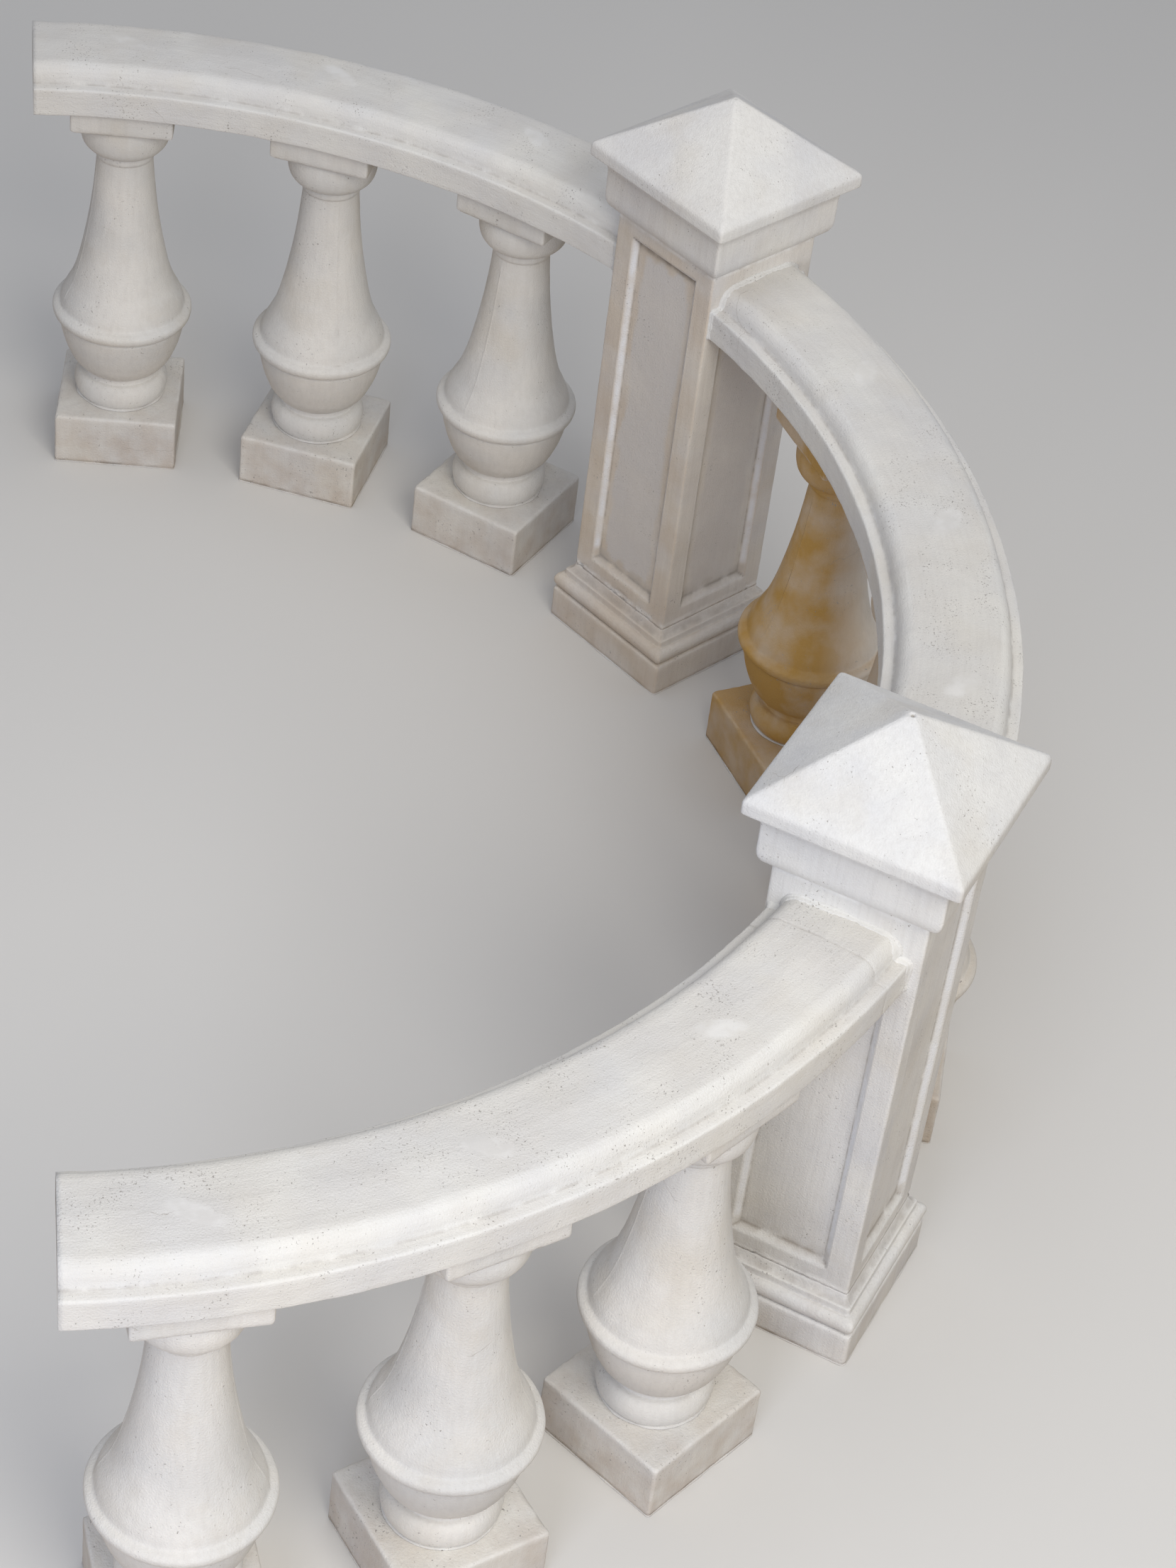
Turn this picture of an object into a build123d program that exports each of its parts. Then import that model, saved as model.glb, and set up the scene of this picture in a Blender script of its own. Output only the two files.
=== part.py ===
from build123d import *

import os
from math import atan2, cos, degrees, radians, sin

# Curved concrete balustrade of a half-round balcony, in three bays between two square posts.
# Z is up, the floor is z = 0, and the curve bulges towards -Y. The origin is the middle of the footprint.
# Angles are counted from the middle of the curve (-Y), positive towards +X.

# Plan
centreline_radius = 1412.0
end_angle = 90.0
post_angle = 34.2
middle_pitch_angle = 16.4
middle_baluster_count = 3
side_first_angle = 51.3
side_pitch_angle = 15.9
side_baluster_count = 3

# Heights of the main levels
rail_underside_height = 776.0
post_block_height = 67.0
post_base_height = 61.0
post_head_above_rail = 36.0
post_bed_height = 103.0

# Post
post_block_width = 296.0
post_base_torus_overhang = 1.0
post_base_torus_height = 31.0
post_base_groove_depth = 7.5
post_base_fillet_projection = 12.5
post_base_fillet_height = 12.0
post_base_hollow_sink = 2.0
post_shaft_width = 244.0
post_arris_chamfer = 3.0
panel_stile = 40.0
panel_bevel = 12.0
panel_depth = 11.0
panel_foot_margin = 34.0
panel_head_margin = 32.0
panel_rail_margin = 18.0
bed_ovolo_height = 30.0
bed_ovolo_bulge = 5.0
bed_band_projection = 21.0
bed_band_height = 43.0
bed_hollow_setback = 6.0
bed_hollow_sink = 3.0
cap_width = 334.0
cap_fascia_height = 25.0
cap_pyramid_height = 118.0
cap_tip_width = 10.0

# Rail
rail_width = 220.0
rail_fascia_height = 55.0
rail_crown_width = 178.0
rail_crown_height = 36.0
rail_crown_radius = 26.0
rail_camber = 3.0

# Baluster plinth
plinth_width = 234.0
plinth_height = 107.0
plinth_edge_chamfer = 5.0

# Turned baluster, radii and heights of its members from the foot up
foot_radius = 90.0
foot_height = 51.0
foot_roundness = 9.0
waist_radius = 72.0
waist_height = 10.0
bowl_radius = 120.0
bowl_height = 112.0
bowl_bulge = 14.0
groove_radius = 117.0
groove_height = 6.0
ridge_radius = 134.0
ridge_height = 24.0
shoulder_radius = 116.0
shoulder_height = 18.0
flare_low_radius = 96.0
flare_low_height = 40.0
flare_middle_radius = 70.0
flare_middle_height = 136.0
neck_radius = 52.0
astragal_radius = 57.0
astragal_height = 16.0
echinus_radius = 83.0
echinus_height = 50.0
echinus_bulge = 8.0
echinus_rim_height = 20.0
echinus_lip_width = 4.0
abacus_width = 188.0
abacus_height = 49.0
abacus_edge_round = 8.0

shaft_base_level = post_block_height + post_base_height
rail_top_level = rail_underside_height + rail_fascia_height + rail_crown_height + rail_camber
shaft_top_level = rail_top_level + post_head_above_rail
post_shaft_height = shaft_top_level - shaft_base_level
cap_level = shaft_top_level + post_bed_height
widest_half = max(rail_width / 2, plinth_width / 2, ridge_radius)
curve_centre = Vector(0, (centreline_radius + widest_half) / 2, 0)

os.makedirs("parts", exist_ok=True)


def outward(angle):
    """Horizontal direction from the centre of the curve out through an angle."""
    return Vector(sin(radians(angle)), -cos(radians(angle)), 0)


def along(angle):
    """Horizontal direction along the curve at an angle, towards larger angles."""
    return Vector(cos(radians(angle)), sin(radians(angle)), 0)


def level_plane(angle, height):
    """Level plane on the centreline, turned with the curve, its local X along the curve."""
    place = curve_centre + outward(angle) * centreline_radius + Vector(0, 0, height)
    return Plane(origin=place, x_dir=along(angle), z_dir=(0, 0, 1))


def upright_plane(angle, height, turn=0, distance=0):
    """Upright plane on the centreline, its local Y up, facing outward turned by an angle.

    It is moved the way it faces by the distance. Turned by -90 it cuts across the curve.
    """
    place = curve_centre + outward(angle) * centreline_radius + outward(angle + turn) * distance
    return Plane(origin=place + Vector(0, 0, height), x_dir=along(angle + turn), z_dir=outward(angle + turn))


def save(piece, name):
    """Labels a finished piece and writes it to its own file."""
    piece.part.label = name
    export_step(piece.part, f"parts/{name}.step")


def post_block(angle):
    """Square block that the post stands on."""
    with BuildPart() as block:
        with BuildSketch(level_plane(angle, 0)):
            Rectangle(post_block_width, post_block_width)
        extrude(amount=post_block_height)
        chamfer(block.edges().filter_by(Axis.Z), post_arris_chamfer)
    return block


def base_profile(plane):
    """Outline of the base moulding: torus, fillet and a hollow up to the shaft."""
    shaft = post_shaft_width / 2
    torus = post_block_width / 2 + post_base_torus_overhang
    groove = torus - post_base_groove_depth
    fillet_half = shaft + post_base_fillet_projection
    fillet_head = post_base_torus_height + post_base_fillet_height
    with BuildSketch(plane) as outline:
        with BuildLine():
            Line((0, 0), (groove, 0))
            ThreePointArc((groove, 0), (torus, post_base_torus_height / 2), (groove, post_base_torus_height))
            Line((groove, post_base_torus_height), (fillet_half, post_base_torus_height))
            Line((fillet_half, post_base_torus_height), (fillet_half, fillet_head))
            ThreePointArc(
                (fillet_half, fillet_head),
                (
                    (fillet_half + shaft) / 2 - post_base_hollow_sink,
                    (fillet_head + post_base_height) / 2 - post_base_hollow_sink,
                ),
                (shaft, post_base_height),
            )
            Line((shaft, post_base_height), (0, post_base_height))
            Line((0, post_base_height), (0, 0))
        make_face()
        mirror(about=Plane.YZ)
    return outline.sketch


def post_base(angle):
    """Base moulding with mitred corners: what two straight mouldings at right angles share."""
    with BuildPart() as base:
        lengthwise = base_profile(upright_plane(angle, post_block_height))
        extrude(lengthwise, amount=post_block_width, both=True)
        crosswise = base_profile(upright_plane(angle, post_block_height, -90))
        extrude(crosswise, amount=post_block_width, both=True, mode=Mode.INTERSECT)
    return base


def sunk_panel(angle, turn, head_level):
    """Cuts a bevelled sunk panel into the face that looks along the curve turned by an angle."""
    foot_level = shaft_base_level + panel_foot_margin
    height = head_level - foot_level
    width = post_shaft_width - 2 * panel_stile
    with BuildSketch(
        upright_plane(angle, (foot_level + head_level) / 2, turn, post_shaft_width / 2)
    ) as mouth:
        Rectangle(width, height)
    bevel_angle = degrees(atan2(panel_bevel, panel_depth))
    extrude(mouth.sketch, amount=-panel_depth, taper=bevel_angle, mode=Mode.SUBTRACT)


def post_shaft(angle):
    """Square shaft with a sunk panel on each face, shorter on the faces that take a rail."""
    with BuildPart() as shaft:
        with BuildSketch(level_plane(angle, shaft_base_level)):
            Rectangle(post_shaft_width, post_shaft_width)
        extrude(amount=post_shaft_height)
        chamfer(shaft.edges().filter_by(Axis.Z), post_arris_chamfer)
        sunk_panel(angle, 0, shaft_top_level - panel_head_margin)
        sunk_panel(angle, 180, shaft_top_level - panel_head_margin)
        sunk_panel(angle, 90, rail_underside_height - panel_rail_margin)
        sunk_panel(angle, -90, rail_underside_height - panel_rail_margin)
    return shaft


def bed_profile(plane):
    """Outline of the bed moulding: ovolo off the shaft, plain band and a hollow out to the cap."""
    shaft = post_shaft_width / 2
    band = shaft + bed_band_projection
    hollow = cap_width / 2 - bed_hollow_setback
    band_foot = bed_ovolo_height
    band_head = bed_ovolo_height + bed_band_height
    with BuildSketch(plane) as outline:
        with BuildLine():
            Line((0, 0), (shaft, 0))
            ThreePointArc(
                (shaft, 0),
                ((shaft + band) / 2 + bed_ovolo_bulge, band_foot / 2 - bed_ovolo_bulge),
                (band, band_foot),
            )
            Line((band, band_foot), (band, band_head))
            ThreePointArc(
                (band, band_head),
                ((band + hollow) / 2 - bed_hollow_sink, (band_head + post_bed_height) / 2 + bed_hollow_sink),
                (hollow, post_bed_height),
            )
            Line((hollow, post_bed_height), (0, post_bed_height))
            Line((0, post_bed_height), (0, 0))
        make_face()
        mirror(about=Plane.YZ)
    return outline.sketch


def post_bed(angle):
    """Bed moulding under the cap, with mitred corners."""
    with BuildPart() as bed:
        lengthwise = bed_profile(upright_plane(angle, shaft_top_level))
        extrude(lengthwise, amount=cap_width / 2, both=True)
        crosswise = bed_profile(upright_plane(angle, shaft_top_level, -90))
        extrude(crosswise, amount=cap_width / 2, both=True, mode=Mode.INTERSECT)
    return bed


def post_cap(angle):
    """Square cap: an upright fascia and a low pyramid with a blunt tip."""
    with BuildPart() as cap:
        with BuildSketch(level_plane(angle, cap_level)):
            Rectangle(cap_width, cap_width)
        extrude(amount=cap_fascia_height)
        with BuildSketch(level_plane(angle, cap_level + cap_fascia_height)):
            Rectangle(cap_width, cap_width)
        with BuildSketch(level_plane(angle, cap_level + cap_fascia_height + cap_pyramid_height)):
            Rectangle(cap_tip_width, cap_tip_width)
        loft()
    return cap


def rail(start_angle, finish_angle):
    """Handrail of one bay, turned about the centre of the curve and cut flat where it meets a post."""
    half = rail_width / 2
    crown = rail_crown_width / 2
    top = rail_fascia_height + rail_crown_height
    with BuildPart() as bay:
        with BuildSketch(upright_plane(start_angle, rail_underside_height, -90)):
            with BuildLine():
                Line((0, 0), (half, 0))
                Line((half, 0), (half, rail_fascia_height))
                Line((half, rail_fascia_height), (crown, rail_fascia_height))
                Line((crown, rail_fascia_height), (crown, top - rail_crown_radius))
                RadiusArc(
                    (crown, top - rail_crown_radius),
                    (crown - rail_crown_radius, top),
                    -rail_crown_radius,
                )
                Line((crown - rail_crown_radius, top), (0, top + rail_camber))
                Line((0, top + rail_camber), (0, 0))
            make_face()
            mirror(about=Plane.YZ)
        revolve(axis=Axis(curve_centre, (0, 0, 1)), revolution_arc=finish_angle - start_angle)
        if abs(start_angle) == post_angle:
            split(bisect_by=upright_plane(start_angle, 0, 90, post_shaft_width / 2), keep=Keep.TOP)
        if abs(finish_angle) == post_angle:
            split(bisect_by=upright_plane(finish_angle, 0, 90, -post_shaft_width / 2), keep=Keep.BOTTOM)
    return bay


def plinth(angle):
    """Square block under a baluster, standing on the floor."""
    with BuildPart() as block:
        with BuildSketch(level_plane(angle, 0)):
            Rectangle(plinth_width, plinth_width)
        extrude(amount=plinth_height)
        chamfer(block.edges().filter_by(Axis.Z), plinth_edge_chamfer)
        chamfer(block.faces().sort_by(Axis.Z)[-1].edges(), plinth_edge_chamfer)
    return block


def baluster(angle):
    """Turned baluster with its square abacus, between the plinth and the underside of the rail."""
    waist = foot_height + waist_height
    bowl = waist + bowl_height
    groove = bowl + groove_height
    ridge = groove + ridge_height
    shoulder = ridge + shoulder_height
    abacus = rail_underside_height - plinth_height - abacus_height
    echinus = abacus - echinus_rim_height
    astragal = echinus - echinus_height
    neck = astragal - astragal_height
    with BuildPart() as turned:
        with BuildSketch(upright_plane(angle, plinth_height)):
            with BuildLine():
                Line((0, 0), (foot_radius - foot_roundness, 0))
                ThreePointArc(
                    (foot_radius - foot_roundness, 0),
                    (foot_radius, foot_height / 2),
                    (foot_radius - foot_roundness, foot_height),
                )
                Line((foot_radius - foot_roundness, foot_height), (waist_radius, foot_height))
                Line((waist_radius, foot_height), (waist_radius, waist))
                ThreePointArc(
                    (waist_radius, waist),
                    ((waist_radius + bowl_radius) / 2 + bowl_bulge, (waist + bowl) / 2 - bowl_bulge),
                    (bowl_radius, bowl),
                )
                Line((bowl_radius, bowl), (groove_radius, bowl))
                Line((groove_radius, bowl), (groove_radius, groove))
                ThreePointArc(
                    (groove_radius, groove),
                    (ridge_radius, (groove + ridge) / 2),
                    (groove_radius, ridge),
                )
                Line((groove_radius, ridge), (shoulder_radius, shoulder))
                Spline(
                    (shoulder_radius, shoulder),
                    (flare_low_radius, shoulder + flare_low_height),
                    (flare_middle_radius, shoulder + flare_middle_height),
                    (neck_radius, neck),
                )
                ThreePointArc(
                    (neck_radius, neck),
                    (astragal_radius, (neck + astragal) / 2),
                    (neck_radius, astragal),
                )
                Line((neck_radius, astragal), (astragal_radius, astragal))
                ThreePointArc(
                    (astragal_radius, astragal),
                    ((astragal_radius + echinus_radius) / 2 + echinus_bulge, (astragal + echinus) / 2 - echinus_bulge),
                    (echinus_radius, echinus),
                )
                ThreePointArc(
                    (echinus_radius, echinus),
                    (echinus_radius - echinus_lip_width / 2, (echinus + abacus) / 2),
                    (echinus_radius - 2 * echinus_lip_width, abacus),
                )
                Line((echinus_radius - 2 * echinus_lip_width, abacus), (0, abacus))
                Line((0, abacus), (0, 0))
            make_face()
        revolve(axis=Axis(curve_centre + outward(angle) * centreline_radius, (0, 0, 1)))
        with BuildSketch(level_plane(angle, plinth_height + abacus)):
            Rectangle(abacus_width, abacus_width)
        slab = extrude(amount=abacus_height)
        under_edges = slab.faces().sort_by(Axis.Z)[0].edges()
        fillet(turned.edges().filter_by(lambda edge: edge in under_edges), abacus_edge_round)
    return turned


for side, sign in (("left", -1), ("right", 1)):
    save(post_block(sign * post_angle), f"post_{side}_block")
    save(post_base(sign * post_angle), f"post_{side}_base_moulding")
    save(post_shaft(sign * post_angle), f"post_{side}_shaft")
    save(post_bed(sign * post_angle), f"post_{side}_bed_moulding")
    save(post_cap(sign * post_angle), f"post_{side}_cap")

save(rail(-end_angle, -post_angle), "rail_left")
save(rail(-post_angle, post_angle), "rail_middle")
save(rail(post_angle, end_angle), "rail_right")

for number in range(middle_baluster_count):
    angle = (number - (middle_baluster_count - 1) / 2) * middle_pitch_angle
    save(plinth(angle), f"plinth_middle_{number + 1}")
    save(baluster(angle), f"baluster_middle_{number + 1}")
for side, sign in (("left", -1), ("right", 1)):
    for number in range(side_baluster_count):
        angle = sign * (side_first_angle + number * side_pitch_angle)
        save(plinth(angle), f"plinth_{side}_{number + 1}")
        save(baluster(angle), f"baluster_{side}_{number + 1}")
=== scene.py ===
from math import cos, pi, radians, sin

import bpy
import numpy as np
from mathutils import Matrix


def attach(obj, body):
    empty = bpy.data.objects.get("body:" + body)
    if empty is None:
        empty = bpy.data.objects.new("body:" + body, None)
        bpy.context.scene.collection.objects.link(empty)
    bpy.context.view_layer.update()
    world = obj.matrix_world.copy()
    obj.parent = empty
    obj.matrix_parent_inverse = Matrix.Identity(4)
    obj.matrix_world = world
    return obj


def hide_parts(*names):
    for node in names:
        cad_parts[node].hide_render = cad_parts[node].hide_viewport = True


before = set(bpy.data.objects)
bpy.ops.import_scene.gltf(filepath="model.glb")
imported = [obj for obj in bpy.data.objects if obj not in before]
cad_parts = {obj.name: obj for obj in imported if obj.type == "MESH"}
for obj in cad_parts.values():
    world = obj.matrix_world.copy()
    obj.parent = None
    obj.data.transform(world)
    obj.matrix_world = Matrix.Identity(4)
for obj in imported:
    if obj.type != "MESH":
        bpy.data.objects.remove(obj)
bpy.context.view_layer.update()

# The camera stands in line with the two rail ends, three metres beyond the left one and 4.3 m up, and
# looks down across the balustrade to the right rail. Its lens and tilt are the photograph's own.
camera_data = bpy.data.cameras.new("camera")
camera_data.lens = 83.27
camera_data.sensor_width = 36.0
camera_data.sensor_fit = "AUTO"
camera = bpy.data.objects.new("camera", camera_data)
camera.location = (-4.44137, 0.83263, 4.31694)
camera.rotation_euler = (radians(48.345), radians(-5.7816), radians(-97.0912))
bpy.context.scene.collection.objects.link(camera)
bpy.context.scene.camera = camera
bpy.context.scene.view_settings.view_transform = "Standard"

# Post foot blocks. Each post stands on a square block of cast concrete, set on a bed of mortar. It is
# brushed with white masonry paint, and its arrises are blunt and chipped from years of knocks.
curve_centre = np.array([0.0, 0.773, 0.0])
centreline_radius = 1.412
post_angles = {"left": -34.2, "right": 34.2}
# How much painted warm bounce light, an ochre tint on the faces that look in, each post gets.
post_bounce_tint = {"left": 0.03, "right": 0.34}
block_half = 0.148
block_height = 0.067
block_arris = 0.008


def moulded(corners, spacing, plain=()):
    """Outline of a moulding from (half width, height, rounding) corners, as rows of half width and height.

    A corner is eased by a parabola between two points that lie the rounding away from it:
    p(t) = (1 - t)^2 a + 2 t (1 - t) corner + t^2 b. Runs are then divided by the spacing, except
    the plain ones, which are out of sight.
    """
    points = np.array([corner[:2] for corner in corners], float)
    runs = [[points[0]]]
    for i in range(1, len(points)):
        back, here = points[i - 1] - points[i], points[i]
        ease = corners[i][2] if i < len(points) - 1 else 0
        eased = [here]
        if ease:
            on = points[i + 1] - here
            reach = min(ease, 0.48 * np.linalg.norm(back), 0.48 * np.linalg.norm(on))
            a = here + back / np.linalg.norm(back) * reach
            b = here + on / np.linalg.norm(on) * reach
            eased = [(1 - t) ** 2 * a + 2 * t * (1 - t) * here + t**2 * b for t in np.linspace(0, 1, 4)]
        start, length = runs[-1][-1], np.linalg.norm(eased[0] - runs[-1][-1])
        pieces = 1 if i - 1 in plain else max(1, int(np.ceil(length / spacing)))
        runs.append([start + (eased[0] - start) * step / pieces for step in range(1, pieces)] + eased)
    rows = np.array([point for run in runs for point in run])
    kept = np.linalg.norm(np.diff(rows, axis=0), axis=1) > 1e-6
    return rows[np.concatenate([[True], kept])]


def quarter(start, end, upright_first, count=7):
    """Quarter of an ellipse from start to end, for an ovolo or a hollow: one way goes with the sine,
    the other with one minus the cosine. It leaves the start upright or level."""
    turn = np.linspace(0, pi / 2, count)
    quick, slow = np.sin(turn), 1 - np.cos(turn)
    first, second = (slow, quick) if upright_first else (quick, slow)
    wider, higher = end[0] - start[0], end[1] - start[1]
    return [(start[0] + wider * u, start[1] + higher * w, 0) for u, w in zip(first, second)]


def square_rings(outline, arris, across):
    """Square casting: at each height a square ring with its four arrises rounded in plan.

    A point of the square's side is drawn to q + arris * (point - q) / |point - q|, where q is the
    point held inside the square that is smaller by the arris. The same side is turned four times.
    """
    half, height = outline[:, :1], outline[:, 1:2]
    inner = half - np.minimum(arris, 0.9 * half)
    x, y = half + 0 * across, half * across
    held = np.clip(y, -inner, inner)
    way_x, way_y = x - inner, y - held
    reach = (half - inner) / np.hypot(way_x, way_y)
    x, y = inner + way_x * reach, held + way_y * reach
    rings = [np.stack([a, b, height + 0 * x], -1) for a, b in ((x, y), (-y, x), (-x, -y), (y, -x))]
    return np.concatenate(rings, axis=1)


def across_side(half, arris, spacing):
    """Places across one side of a square, from -1 up to but not at 1, closer together at the arrises."""
    flat = 1 - arris / half
    middle = np.linspace(-flat, flat, max(2, int(2 * half * flat / spacing)))
    corner = np.linspace(flat, 1, 5)[1:-1]
    return np.concatenate([[-1], -corner[::-1], middle, corner])


def placed(points, angle):
    """Puts a piece drawn round the Z axis onto the centreline at an angle of the curve. Its X then runs
    along the curve and its Y inwards: place = centre + outward * (radius - y) + along * x."""
    outward = np.array([sin(radians(angle)), -cos(radians(angle)), 0])
    along = np.array([cos(radians(angle)), sin(radians(angle)), 0])
    flat = points[..., :1] * along + (centreline_radius - points[..., 1:2]) * outward
    return curve_centre + flat + points[..., 2:] * np.array([0, 0, 1])


def waves(points, length, seed):
    """Smooth unevenness between about -1 and 1: the mean of 20 sine waves through space, each of its
    own direction, phase and length near the one given, times a factor that restores its spread."""
    draw = np.random.default_rng(seed)
    ways = draw.normal(size=(20, 3))
    ways *= 2 * pi / (length * draw.uniform(0.6, 1.6, (20, 1)) * np.linalg.norm(ways, axis=1, keepdims=True))
    return np.clip(np.sin(points @ ways.T + draw.uniform(0, 2 * pi, 20)).mean(-1) * 3.2, -1, 1)


def outward_of(points):
    """Unit normals of a closed grid, from the cross product of its two directions, turned so that on
    average they point away from its middle."""
    round_ring = np.roll(points, -1, 1) - np.roll(points, 1, 1)
    normal = np.cross(round_ring, np.gradient(points, axis=0))
    normal /= np.linalg.norm(normal, axis=-1, keepdims=True) + 1e-12
    return normal * np.sign((normal * (points - points.mean((0, 1)))).sum())


def hollows(points, steps):
    """How far each point lies below (+) or above (-) the mean of its neighbours, in metres along the
    normal, after that many rounds of averaging with the rows and columns beside it."""
    mean = points
    for _ in range(steps):
        ring = (np.roll(mean, 1, 1) + np.roll(mean, -1, 1)) / 2
        rows = np.concatenate([mean[:1], (mean[2:] + mean[:-2]) / 2, mean[-1:]])
        mean = (mean * 2 + ring + rows) / 4
    return ((mean - points) * outward_of(points)).sum(-1)


def weathered(points, seed, uneven=0.0007, chip=0.0035, chip_share=0.5, ragged=0.0, bounce_tint=0.06):
    """Hand-cast surface that only ever goes inwards: gentle unevenness over 90 and 22 mm, chips where an
    arris and a patch of 16 mm waves meet, and an arris left ragged over 11 mm. The marks for the paint
    are 1 in a groove, for dirt and painted shade, and 1 on an arris. The painted warm bounce light
    comes to the bounce tint on a face that looks in, towards +Y, and fades to little on faces that
    look out."""
    normal, depth = outward_of(points), hollows(points, steps=6)
    arris = np.clip((-depth - 0.0010) / 0.0012, 0, 1)
    groove = np.clip((depth - 0.0002) / 0.0011, 0, 1)
    low = uneven * (1 - 0.6 * waves(points, 0.09, seed) - 0.4 * waves(points, 0.022, seed + 1)) / 2
    patches = (waves(points, 0.016, seed + 2) + waves(points, 0.11, seed + 3)) / 2
    broken = np.clip(patches - 1 + chip_share, 0, 1)
    low += arris * (chip * np.clip(broken * 5, 0, 1) + ragged * (1 + waves(points, 0.011, seed + 4)) / 2)
    marks = {"hollow": groove, "arris": arris}
    # Painted warm bounce light: an ochre tint on the faces that look in.
    marks["sheltered"] = bounce_tint * np.clip(0.90 + 0.85 * normal[..., 1], 0, 1)
    return points - normal * low[..., None], marks


def squeezed_mortar(ring, reach, rise, seed):
    """Bead of mortar squeezed out round a foot: a closed outline is carried outwards by a reach and up by
    a rise, both of them varied between a quarter and the whole by 60 mm and 15 mm waves."""
    middle = ring.mean(0)
    way = (ring - middle) * [1, 1, 0]
    way /= np.linalg.norm(way, axis=-1, keepdims=True)
    swell = 0.3 * waves(ring, 0.060, seed) + 0.15 * waves(ring, 0.015, seed + 1)
    full = np.clip(0.6 + swell, 0.25, 1)[:, None]
    up = np.array([0, 0, 1.0])
    under_foot = -0.010
    profile = ((under_foot, 0), (0.6 * reach, 0), (reach, 0), (0.85 * reach, 0.35 * rise))
    profile += ((0.4 * reach, 0.75 * rise), (0, rise), (under_foot, rise))
    bead = np.stack([ring + full * (way * out + up * high) for out, high in profile])
    return bead, {"mortar": np.ones(bead.shape[:2])}


def cast_piece(name, shells, material, node=None):
    """One mesh from closed grids: each is rows of rings, its two ends shut by fans to their middles.
    A grid whose enclosed volume comes out negative has its faces turned to point outwards."""
    places, faces, start = [], [], 0
    for shell, _ in shells:
        rows, ring = shell.shape[:2]
        index = start + np.arange(rows * ring).reshape(rows, ring)
        beside = np.roll(index, -1, 1)
        quads = np.stack([index[:-1], beside[:-1], beside[1:], index[1:]], -1).reshape(-1, 4)
        foot, head = start + rows * ring, start + rows * ring + 1
        fans = np.concatenate(
            [
                np.stack([beside[0], index[0], foot + 0 * index[0]], -1),
                np.stack([index[-1], beside[-1], head + 0 * index[0]], -1),
            ]
        )
        points = np.concatenate([shell.reshape(-1, 3), [shell[0].mean(0), shell[-1].mean(0)]])
        a, b, c, d = (points[quads[:, i] - start] - points.mean(0) for i in range(4))
        order = -1 if (np.cross(a, b) * c).sum() + (np.cross(a, c) * d).sum() < 0 else 1
        places.append(points)
        faces += quads[:, ::order].tolist() + fans[:, ::order].tolist()
        start += len(points)
    mesh = bpy.data.meshes.new(name)
    mesh.from_pydata(np.concatenate(places).tolist(), [], faces)
    mesh.polygons.foreach_set("use_smooth", [True] * len(mesh.polygons))
    for mark in sorted({mark for _, marks in shells for mark in marks}):
        values = [np.append(marks.get(mark, 0 * shell[..., 0]).ravel(), [0, 0]) for shell, marks in shells]
        layer = mesh.attributes.new(mark, "FLOAT", "POINT")
        layer.data.foreach_set("value", np.concatenate(values).astype(np.float32))
    mesh.materials.append(material)
    piece = bpy.data.objects.new(name, mesh)
    bpy.context.scene.collection.objects.link(piece)
    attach(piece, "root")
    if node:
        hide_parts(node)
    return piece


def linear(code):
    """Turns an sRGB hex colour into the linear numbers that the shader works in."""
    shown = np.array([int(code[i : i + 2], 16) for i in (1, 3, 5)]) / 255
    return (*np.where(shown <= 0.04045, shown / 12.92, ((shown + 0.055) / 1.055) ** 2.4).tolist(), 1.0)


def add(tree, kind, inputs, out=0, **settings):
    """Adds a shader node with its settings, sets or links each input that is given, and returns one of
    its outputs."""
    node = tree.nodes.new("ShaderNode" + kind)
    for key, value in settings.items():
        setattr(node, key, value)
    for key, value in inputs.items():
        if isinstance(value, bpy.types.NodeSocket):
            tree.links.new(value, node.inputs[key])
        else:
            node.inputs[key].default_value = value
    return node.outputs[out]


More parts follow.
